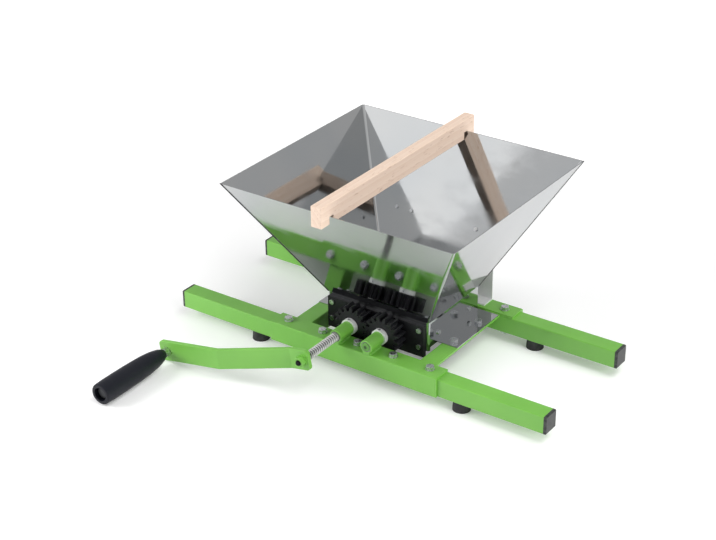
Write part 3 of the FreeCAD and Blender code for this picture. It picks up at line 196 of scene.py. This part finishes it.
class Finish:
    """A material being made: its shader, and short ways to add nodes before it."""

    def __init__(self, name, colour, roughness, metallic=0.0, **sockets):
        """The shader's plain colour and numbers, which stay where no node is fed in."""
        self.material = bpy.data.materials.new(name)
        self.material.use_nodes = True
        self.tree = self.material.node_tree
        self.shader = self.tree.nodes["Principled BSDF"]
        self.feed("Base Color", (*colour, 1))
        self.feed("Roughness", roughness)
        self.feed("Metallic", metallic)
        for socket, value in sockets.items():
            self.feed(socket.replace("_", " "), value)

    def feed(self, socket, value, node=None):
        """Set or link an input of a node, or of the shader."""
        target = (node or self.shader).inputs[socket]
        if isinstance(value, bpy.types.NodeSocket):
            self.tree.links.new(value, target)
        else:
            target.default_value = value

    def add(self, kind, inputs, **settings):
        """A new node with its settings and inputs."""
        node = self.tree.nodes.new(kind)
        for name, value in settings.items():
            setattr(node, name, value)
        for socket, value in inputs.items():
            self.feed(socket, value, node)
        return node

    def point(self):
        """The point on the object."""
        return self.add("ShaderNodeTexCoord", {}).outputs["Object"]

    def place(self, stretch=(1, 1, 1), shift=(0, 0, 0)):
        """The point on the object, with each axis stretched and then shifted."""
        return self.add("ShaderNodeMapping", {
            "Vector": self.point(), "Scale": stretch, "Location": shift}).outputs[0]

    def length(self, vector):
        """A vector's length."""
        return self.add("ShaderNodeVectorMath", {0: vector}, operation="LENGTH").outputs["Value"]

    def noise(self, scale, detail=2.0, rough=0.5, stretch=(1, 1, 1)):
        """Smooth noise, from about 0.25 to 0.75."""
        return self.add("ShaderNodeTexNoise", {
            "Vector": self.place(stretch), "Scale": scale, "Detail": detail,
            "Roughness": rough}).outputs[0]

    def span(self, value, low, high, to_low=0.0, to_high=1.0):
        """A value's range between low and high, taken to another range and kept inside it."""
        return self.add("ShaderNodeMapRange", {
            "Value": value, "From Min": low, "From Max": high,
            "To Min": to_low, "To Max": to_high}).outputs[0]

    def times(self, first, second):
        """The product of two values."""
        return self.add("ShaderNodeMath", {0: first, 1: second}, operation="MULTIPLY").outputs[0]

    def mix(self, share, first, second):
        """Two colours mixed: the first at a share of 0, and the second at 1."""
        node = self.add("ShaderNodeMix", {0: share}, data_type="RGBA")
        for socket, colour in zip(MIX_COLOURS, (first, second)):
            if not isinstance(colour, bpy.types.NodeSocket):
                colour = (*colour, 1)
            self.feed(socket, colour, node)
        return node.outputs[MIX_RESULT]

    def mottle(self, value, low, high, first, second):
        """Two colours mixed by where a value lies between low and high."""
        return self.mix(self.span(value, low, high), first, second)

    def rounded(self, radius):
        """The normal with every edge rounded over by a radius."""
        return self.add("ShaderNodeBevel", {"Radius": radius}, samples=4).outputs[0]

    def edges(self, radius):
        """1 on an edge and 0 away from it."""
        flat = self.add("ShaderNodeNewGeometry", {}).outputs["Normal"]
        lean = self.add("ShaderNodeVectorMath", {0: self.rounded(radius), 1: flat},
                        operation="DOT_PRODUCT").outputs["Value"]
        return self.span(lean, *EDGE_LEAN)

    def bump(self, height, depth, normal=None):
        """A normal roughened by a height that spans the depth."""
        inputs = {"Height": height, "Distance": depth, "Strength": 1.0}
        if normal is not None:
            inputs["Normal"] = normal
        return self.add("ShaderNodeBump", inputs).outputs[0]

    def relief(self, height, depth, edge_radius=None):
        """Roughen the surface by a height that spans the depth, with its edges rounded."""
        normal = None if edge_radius is None else self.rounded(edge_radius)
        self.feed("Normal", self.bump(height, depth, normal))

    def gloss(self, noise, smooth, rough):
        """Let a noise take the roughness from smooth to rough."""
        self.feed("Roughness", self.span(noise, NOISE_LOW, NOISE_HIGH, smooth, rough))


def green_paint():
    """Semi-gloss powder coat: faint orange peel, paler along the edges, partly a thinner coat and
    partly a painted highlight.
    """
    base, pale, deep = (0.19, 0.5, 0.07), (0.3, 0.6, 0.17), (0.165, 0.455, 0.06)
    finish = Finish("green_paint_coat", base, 0.4, Specular_IOR_Level=0.75)
    body = finish.mottle(finish.noise(16, 3), NOISE_LOW, NOISE_HIGH, deep, base)
    # paler edges: partly wear of the coat, partly a painted highlight along each edge
    wear_and_edge_highlight = finish.times(finish.edges(0.5 * MM),
                        finish.span(finish.noise(90, 4), 0.35, 0.6, 0.15, 0.6))
    finish.feed("Base Color", finish.mix(wear_and_edge_highlight, body, pale))
    finish.gloss(finish.noise(60, 3), 0.34, 0.46)
    finish.relief(finish.noise(620, 2), 0.05 * MM, 0.4 * MM)
    return finish.material


def polished_steel():
    """Mirror-polished sheet: slightly wavy, with faint smears and hairline scratches."""
    finish = Finish("polished_steel_sheet", (0.5, 0.512, 0.52), 0.06, 1.0)
    smear = finish.noise(26, 3, 0.5, (1, 1, 2.2))
    finish.feed("Roughness", finish.span(smear, 0.4, 0.75, 0.045, 0.14))
    finish.feed("Base Color", finish.mottle(finish.noise(9, 2), NOISE_LOW, NOISE_HIGH,
                                            (0.48, 0.497, 0.51), (0.52, 0.527, 0.53)))
    waves = finish.bump(finish.noise(10, 1), 0.3 * MM)
    lines = finish.noise(700, 2, 0.5, (1, 1, 0.04))
    finish.feed("Normal", finish.bump(lines, 0.004 * MM, waves))
    return finish.material


def weld_seam():
    """Heat-tinted weld, dressed down."""
    finish = Finish("weld_seam_tint", (0.05, 0.05, 0.05), 0.55, 0.3, Specular_IOR_Level=0.3)
    tint = finish.noise(240, 3)
    finish.feed("Base Color", finish.mottle(tint, 0.35, 0.65,
                                            (0.03, 0.03, 0.032), (0.12, 0.115, 0.11)))
    finish.gloss(tint, 0.5, 0.65)
    return finish.material


def brushed_steel():
    """Satin steel with its grain up the strip."""
    finish = Finish("brushed_steel_sheet", (0.84, 0.845, 0.84), 0.5, 0.25)
    grain = finish.noise(1400, 2, 0.5, (1, 1, 0.03))
    finish.gloss(grain, 0.44, 0.58)
    finish.relief(grain, 0.01 * MM, 0.3 * MM)
    return finish.material


def zinc_steel():
    """Bright zinc plate, slightly mottled."""
    finish = Finish("zinc_steel_plate", (0.68, 0.69, 0.71), 0.28, 1.0)
    spots = finish.noise(260, 4, 0.6)
    finish.feed("Base Color", finish.mottle(spots, 0.35, 0.65,
                                            (0.56, 0.575, 0.6), (0.76, 0.77, 0.77)))
    finish.gloss(spots, 0.2, 0.38)
    finish.relief(spots, 0.02 * MM, 0.3 * MM)
    return finish.material


BARE_STEEL, STAINED_STEEL = (0.68, 0.68, 0.69), (0.5, 0.49, 0.48)


def turned_steel():
    """Bright turned steel, with fine rings round the axle."""
    finish = Finish("turned_steel_bar", (0.6, 0.6, 0.61), 0.26, 1.0)
    rings = finish.noise(2200, 2, 0.5, (0.02, 1, 0.02))
    finish.feed("Base Color", finish.mottle(finish.noise(70, 4), 0.35, 0.7,
                                            BARE_STEEL, STAINED_STEEL))
    finish.gloss(rings, 0.2, 0.36)
    finish.relief(rings, 0.015 * MM, 0.25 * MM)
    return finish.material


def about_shaft(finish, shaft):
    """How far a point is from a shaft's axis, and its place along Y."""
    axis = middle(shaft)
    from_axis = finish.length(finish.place((1, 0, 1), (-axis.x, 0, -axis.z)))
    along = finish.add("ShaderNodeSeparateXYZ", {0: finish.point()}).outputs["Y"]
    return from_axis, along


# the band below each crest that the painted root shade leaves bare
BRIGHT_CREST = 0.3 * MM


def threaded_steel():
    """Turned steel whose thread roots are painted near-black as shade in the grooves; the stud in
    front of them is painted as dark.
    """
    finish = Finish("threaded_steel_bar", (0.6, 0.6, 0.61), 0.26, 1.0)
    from_axis, along = about_shaft(finish, "drive_shaft")
    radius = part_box("drive_shaft")[1].x - middle("drive_shaft").x
    bush_front = along_axle("drive_front_bush")[0]
    front = finish.span(along, bush_front - THREAD_STOP, bush_front, 1, 0)
    # painted shade: 1 down in the thread's roots, 0 on its crests
    root = finish.span(from_axis, radius - THREAD_DEPTH, radius - BRIGHT_CREST, 1, 0)
    bright = finish.mottle(finish.noise(70, 4), 0.35, 0.7,
                           (0.78, 0.78, 0.78), (0.66, 0.65, 0.64))
    finish.feed("Base Color", finish.mix(finish.times(front, root), bright, (0.02, 0.02, 0.02)))
    finish.gloss(finish.noise(2200, 2), 0.2, 0.36)
    finish.relief(finish.noise(900, 2), 0.01 * MM, 0.15 * MM)
    return finish.material


PAINT_EDGE = 0.2 * MM               # over which the paint gives way to steel, at the bush
END_HOLE_SHADE = (1.6 * MM, 3 * MM)     # the painted hole shade's radius, and where the paint is full


def painted_end_steel():
    """Turned steel whose front end is painted over with its boss, with painted shade in the centre
    where a drilled hole would be.
    """
    finish = Finish("painted_end_steel_bar", (0.6, 0.6, 0.61), 0.3, 1.0)
    from_axis, along = about_shaft(finish, "driven_shaft")
    bush_front = along_axle("driven_front_bush")[0]
    bare = finish.span(along, bush_front, bush_front + PAINT_EDGE)
    paint = finish.mottle(finish.noise(300, 3), 0.35, 0.65, (0.1, 0.27, 0.05), (0.14, 0.36, 0.07))
    # painted shade: a near-black disc in the centre, for a drilled hole that has no shape here
    paint = finish.mix(finish.span(from_axis, *END_HOLE_SHADE), (0.02, 0.06, 0.012), paint)
    steel = finish.mottle(finish.noise(70, 4), 0.35, 0.7, BARE_STEEL, STAINED_STEEL)
    finish.feed("Base Color", finish.mix(bare, paint, steel))
    finish.feed("Metallic", bare)
    finish.feed("Roughness", finish.span(bare, 0, 1, 0.5, 0.28))
    finish.relief(finish.noise(900, 2), 0.02 * MM, 0.25 * MM)
    return finish.material


def sintered_iron():
    """Oiled sintered iron: open, speckled grain."""
    finish = Finish("sintered_iron_grain", (0.2, 0.2, 0.195), 0.4, 1.0)
    grain = finish.noise(1500, 3, 0.7)
    finish.feed("Base Color", finish.mottle(grain, 0.35, 0.6,
                                            (0.12, 0.12, 0.118), (0.3, 0.3, 0.29)))
    finish.relief(grain, 0.03 * MM)
    return finish.material


def spring_steel():
    """Black oxide with a trace of oil."""
    finish = Finish("spring_steel_oxide", (0.05, 0.052, 0.056), 0.35, 0.8)
    finish.gloss(finish.noise(400, 3), 0.28, 0.46)
    return finish.material


def black_plastic():
    """Moulded plastic with a satin skin, greyer where edges are rubbed."""
    black, grey = (0.012, 0.012, 0.014), (0.06, 0.06, 0.065)
    finish = Finish("black_plastic_moulded", black, 0.42, Specular_IOR_Level=0.3)
    rubbed = finish.times(finish.edges(0.4 * MM),
                          finish.span(finish.noise(150, 4), 0.4, 0.7, 0, 0.5))
    finish.feed("Base Color", finish.mix(rubbed, black, grey))
    finish.gloss(finish.noise(320, 3), 0.32, 0.48)
    finish.relief(finish.noise(1300, 2), 0.02 * MM, 0.35 * MM)
    return finish.material


def cap_plastic():
    """Glossier moulded plastic, scuffed grey."""
    black, grey = (0.02, 0.021, 0.022), (0.075, 0.08, 0.075)
    finish = Finish("cap_plastic_scuffed", black, 0.34, Specular_IOR_Level=0.42)
    scuff = finish.span(finish.noise(210, 5, 0.65), 0.42, 0.68)
    finish.feed("Base Color", finish.mix(scuff, black, grey))
    finish.feed("Roughness", finish.span(scuff, 0, 1, 0.3, 0.5))
    finish.relief(finish.noise(1300, 2), 0.02 * MM, 0.5 * MM)
    return finish.material


def black_rubber():
    """Dull rubber with a dusty bloom."""
    finish = Finish("black_rubber_bloom", (0.028, 0.028, 0.03), 0.75)
    finish.feed("Base Color", finish.mottle(finish.noise(120, 5, 0.6), 0.4, 0.75,
                                            (0.024, 0.024, 0.026), (0.06, 0.06, 0.062)))
    finish.relief(finish.noise(900, 3), 0.05 * MM, 0.6 * MM)
    return finish.material


def grip_plastic():
    """Hard plastic with a spark-eroded texture."""
    finish = Finish("grip_plastic_texture", (0.008, 0.009, 0.014), 0.5, Specular_IOR_Level=0.28)
    finish.gloss(finish.noise(50, 3), 0.42, 0.56)
    finish.relief(finish.noise(1700, 2, 0.7), 0.05 * MM)
    return finish.material


PITH = (0.075, 0, -0.19)    # shifts the growth rings' centre to below the bar, and beside it


def bare_wood():
    """Planed beech: growth rings about a pith beside the bar, fine pores and short flecks."""
    finish = Finish("bare_wood_beech", (0.72, 0.53, 0.4), 0.6)
    point = finish.add("ShaderNodeMapping", {
        "Vector": finish.place((1, 0.05, 1)), "Location": PITH}).outputs[0]
    rings = finish.add("ShaderNodeTexWave", {
        "Vector": point, "Scale": 42, "Distortion": 2.2, "Detail": 3, "Detail Scale": 0.6},
        wave_type="RINGS", rings_direction="Y", wave_profile="SAW").outputs["Fac"]
    fibre = finish.noise(900, 3, 0.6, (1, 0.03, 1))
    fleck = finish.span(finish.noise(520, 2, 0.5, (1, 0.16, 1)), 0.63, 0.7)
    wood = finish.mottle(rings, 0.1, 1.0, (0.86, 0.675, 0.55), (0.79, 0.59, 0.46))
    wood = finish.mix(finish.times(finish.span(fibre, 0.35, 0.65), 0.4), wood, (0.89, 0.73, 0.61))
    wood = finish.mix(finish.times(fleck, 0.5), wood, (0.5, 0.3, 0.2))
    finish.feed("Base Color", wood)
    finish.gloss(fibre, 0.5, 0.68)
    finish.relief(fibre, 0.05 * MM, 0.5 * MM)
    return finish.material


FINISHES = {made.__name__: made() for made in (
    green_paint, polished_steel, weld_seam, brushed_steel, zinc_steel, turned_steel,
    threaded_steel, painted_end_steel, sintered_iron, spring_steel, black_plastic, cap_plastic,
    black_rubber, grip_plastic, bare_wood)}

OWN_FINISH = {"driven_shaft": "painted_end_steel", "drive_collar": "brushed_steel",
              "driven_collar": "brushed_steel"}
for tube_end in ("front_left", "front_right", "rear_left", "rear_right"):
    OWN_FINISH[f"{tube_end}_cap"] = "cap_plastic"


def dress_frame():
    """Give every CAD node its own finish, or that of its material slot."""
    for part in frame["record"]["subparts"]:
        look = OWN_FINISH.get(part["node"], part["material_slot"])
        for holder in frame["nodes"][part["node"]].material_slots:
            holder.material = FINISHES[look]


# ---------------------------------------------------------------------------------------------
# Floor
# ---------------------------------------------------------------------------------------------

FLOOR_HALF = 6.0
FLOOR_LIFT = 0.17           # what the camera sees of the floor's own light under the object
FLOOR_FADE = (0.6, 1.3)     # where that starts to rise, and where it is white
FLOOR_MIRRORED = 0.14       # what metal sees of the floor's own light, away from the object
FLOOR_NEAR = (0.1, 0.23)    # where that starts, and where it is full


def add_floor():
    """A wide white floor that keeps the object's shadow; its far part shows pure white."""
    finish = Finish("floor_white", (0.9, 0.9, 0.9), 0.9, Specular_IOR_Level=0.0)
    rays = finish.add("ShaderNodeLightPath", {}).outputs
    away = finish.length(finish.place())
    seen = finish.times(rays["Is Camera Ray"], finish.span(away, *FLOOR_FADE, FLOOR_LIFT, 1))
    mirrored = finish.times(rays["Is Glossy Ray"],
                            finish.span(away, *FLOOR_NEAR, 0, FLOOR_MIRRORED))
    finish.feed("Emission Color", (1, 1, 1, 1))
    finish.feed("Emission Strength", finish.add(
        "ShaderNodeMath", {0: seen, 1: mirrored}, operation="ADD").outputs[0])
    mesh = bpy.data.meshes.new("floor")
    corners = [(x * FLOOR_HALF, y * FLOOR_HALF, 0) for x, y in ((-1, -1), (1, -1), (1, 1), (-1, 1))]
    mesh.from_pydata(corners, [], [(0, 1, 2, 3)])
    mesh.materials.append(finish.material)
    floor = bpy.data.objects.new("floor", mesh)
    scene.collection.objects.link(floor)


# ---------------------------------------------------------------------------------------------
# Pieces
# ---------------------------------------------------------------------------------------------

def ring(heart, across, upward, radius, sides):
    """A loop of points round a centre, in the plane of two unit vectors."""
    turns = [math.tau * side / sides for side in range(sides)]
    return [heart + (across * math.cos(turn) + upward * math.sin(turn)) * radius
            for turn in turns]


def skin(made, rows):
    """Faces between rows of points, each row a loop; the first and last rows are closed off."""
    loops = [[made.verts.new(point) for point in row] for row in rows]
    for first, second in zip(loops, loops[1:]):
        for step in range(len(first)):
            after = (step + 1) % len(first)
            made.faces.new((first[step], first[after], second[after], second[step]))
    made.faces.new(loops[0])
    made.faces.new(loops[-1])


def add_piece(name, made, slot, body, look=None, crease=35, replaces=()):
    """A piece that rides on a body, from its mesh, with the finish of its look or its slot."""
    bmesh.ops.recalc_face_normals(made, faces=made.faces)
    mesh = bpy.data.meshes.new(name)
    made.to_mesh(mesh)
    made.free()
    mesh.materials.append(FINISHES[look or slot])
    mesh.shade_smooth()
    mesh.set_sharp_from_angle(angle=math.radians(crease))
    piece = bpy.data.objects.new(name, mesh)
    scene.collection.objects.link(piece)
    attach(piece, body)
    if replaces:
        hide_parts(*replaces)


SHAFT_SIDES = 64
STUD_ROWS = 6           # rows of points in a turn of the stud's thread
THREAD_ROWS = 16        # and in a turn of the coarse thread
THREAD_STEEP = 1.6      # over 1, crests and roots are flat
FLAT_LEAN = 0.1         # a least cosine, which keeps the flats' distance from being endless
KEY_LEAN = 0.9          # above this a point round the shaft may lie in a key's seat


def saw(turn):
    """A triangle wave of a number of turns: 0 at the crest and 1 at the root."""
    return abs(2 * (turn % 1) - 1)


def drive_shaft():
    """The drive shaft: a stud, flats for the crank, a coarse thread, then plain in its bearings."""
    low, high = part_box("drive_shaft")
    centre = middle("drive_shaft")
    radius = (high.x - low.x) / 2
    hub_front = along_axle("crank_washer")[1]
    hub_back = hub_front + ARM_WALL
    free_end = along_axle("drive_front_bush")[0] - THREAD_STOP
    key_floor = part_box("drive_gear_key")[0].z
    key_seats = [along_axle(key) for key in ("drive_gear_key", "drive_roller_key")]
    drop = math.atan2(centre.z - middle("grip").z, centre.x - middle("grip").x)

    def reach(y, angle):
        """The shaft's radius at a place along it and an angle round it, from straight up."""
        if y < hub_front:
            groove = STUD_DEPTH * saw(y / STUD_PITCH + angle / math.tau)
            return min(STUD_RADIUS - groove, STUD_RADIUS - SHAFT_BEVEL + y - low.y)
        found = radius
        if hub_back < y < free_end:
            deep = THREAD_STEEP * (saw(y / THREAD_PITCH + angle / math.tau) - 0.5) + 0.5
            found -= THREAD_DEPTH * min(1.0, max(0.0, deep))
        found = min(found, radius - SHAFT_BEVEL + high.y - y)
        if y < hub_back:
            found = min(found, SHAFT_FLATS / 2 / max(FLAT_LEAN, abs(math.cos(angle - drop))))
        if any(start < y < end for start, end in key_seats) and math.cos(angle) > KEY_LEAN:
            found = min(found, (key_floor - centre.z) / math.cos(angle))
        return found

    def row(y):
        """One loop round the shaft."""
        points = []
        for side in range(SHAFT_SIDES):
            angle = math.tau * side / SHAFT_SIDES
            far = reach(y, angle)
            points.append(Vector((centre.x + far * math.sin(angle), y,
                                  centre.z + far * math.cos(angle))))
        return points

    places = [low.y + TINY, high.y - SHAFT_BEVEL, high.y - TINY]
    for start, end, pitch in ((low.y + SHAFT_BEVEL, hub_front, STUD_PITCH / STUD_ROWS),
                              (hub_back, free_end, THREAD_PITCH / THREAD_ROWS)):
        count = round((end - start) / pitch)
        places += [start + (end - start) * step / count for step in range(count + 1)]
    for edge in [hub_front, hub_back, free_end] + [y for seat in key_seats for y in seat]:
        places += [edge - TINY, edge + TINY]
    made = bmesh.new()
    skin(made, [row(y) for y in sorted(places)])
    add_piece("threaded_drive_shaft", made, "turned_steel", "crank_set", "threaded_steel", 50,
              ["drive_shaft"])


BEAD_SIDES = 10
BEAD_STEP = 0.3 * MM
BEAD_RIPPLE = 1.5 * MM      # from one ripple to the next
SWAY_STEP = 4 * MM          # how often a bead changes its course
# Shares of the bead's radius
RIPPLE_DEPTH = 0.16
BEAD_TIP = 0.25             # what is left of it at the bead's ends
BEAD_SWELL = 0.08           # how much thicker or thinner it gets
BEAD_WANDER = 0.12          # how far it strays to each side


def weld_bead(made, start, end, size, seed):
    """A ripply bead along a straight level joint, its ends tapered."""
    draw = random.Random(seed)
    along = end - start
    length = along.length
    across = along.cross(Vector((0, 0, 1))).normalized()
    upward = across.cross(along).normalized()
    count = round(length / BEAD_STEP)
    sway = [draw.uniform(-1, 1) for _ in range(int(length / SWAY_STEP) + 3)]
    rows = []
    for step in range(count + 1):
        share = step / count
        place = share * length
        cell = int(place / SWAY_STEP)
        drift = sway[cell] + (sway[cell + 1] - sway[cell]) * (place / SWAY_STEP - cell)
        taper = min(1.0, min(place, length - place) / size + BEAD_TIP)
        ripple = RIPPLE_DEPTH * (1 - abs(math.sin(math.pi * place / BEAD_RIPPLE)))
        radius = size * taper * (1 - ripple) * (1 + BEAD_SWELL * drift)
        heart = start + along * share + across * (BEAD_WANDER * size * drift)
        rows.append(ring(heart, across, upward, radius, BEAD_SIDES))
    skin(made, rows)


def boss_welds():
    """Fillet welds along both sides of every bearing boss's foot."""
    for end_name in ("front", "rear"):
        low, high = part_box(f"{end_name}_bearing_angle")
        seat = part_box(f"{end_name}_rail")[1].z + ANGLE_WALL
        made = bmesh.new()
        for number, axle in enumerate(("drive", "driven")):
            for hand in (-1, 1):
                beside = middle(f"{axle}_front_bush").x + hand * BOSS_FOOT / 2
                weld_bead(made, Vector((beside, low.y + BEAD, seat)),
                          Vector((beside, high.y - BEAD, seat)), BEAD, 10 * number + hand)
        add_piece(f"{end_name}_boss_welds", made, "green_paint", "base")


def cross_welds():
    """Welds where the cross angles meet the rails."""
    for number, hand in enumerate(("left", "right")):
        low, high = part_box(f"{hand}_cross_angle")
        left, right = low.x + CROSS_INSETS[0], high.x - CROSS_INSETS[1]
        made = bmesh.new()
        for y in (low.y, high.y):
            weld_bead(made, Vector((left, y, high.z)), Vector((right, y, high.z)),
                      CROSS_BEAD, 30 + number)
        add_piece(f"{hand}_cross_welds", made, "green_paint", "base")


SEAM_SIDES = 8


def hopper_seams():
    """Weld seams down two opposite corners, where the funnel's two bent halves meet."""
    low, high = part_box("hopper")
    centre_y = middle("hopper").y
    throat_y = centre_y - along_axle("front_end_plate")[1]
    rim = Vector((high.x, (high.y - low.y) / 2, high.z))
    throat = Vector((THROAT_HALF, throat_y, THROAT_HEIGHT))
    inward = FOLD_RADIUS * (1 - math.sqrt(0.5)) - SEAM_PROUD
    made = bmesh.new()
    for side in (-1, 1):
        hearts = [Vector((side * (corner.x - inward), centre_y + side * (corner.y - inward),
                          corner.z)) for corner in (throat, rim)]
        skin(made, [ring(heart, Vector((1, 0, 0)), Vector((0, 1, 0)), SEAM, SEAM_SIDES)
                    for heart in hearts])
    add_piece("hopper_corner_seams", made, "polished_steel", "base", "weld_seam", 60)


# ---------------------------------------------------------------------------------------------
# Scene
# ---------------------------------------------------------------------------------------------

dress_frame()
drive_shaft()
boss_welds()
cross_welds()
hopper_seams()
add_floor()
add_world()
add_lamps()
add_camera()
scene.view_settings.view_transform = "Standard"
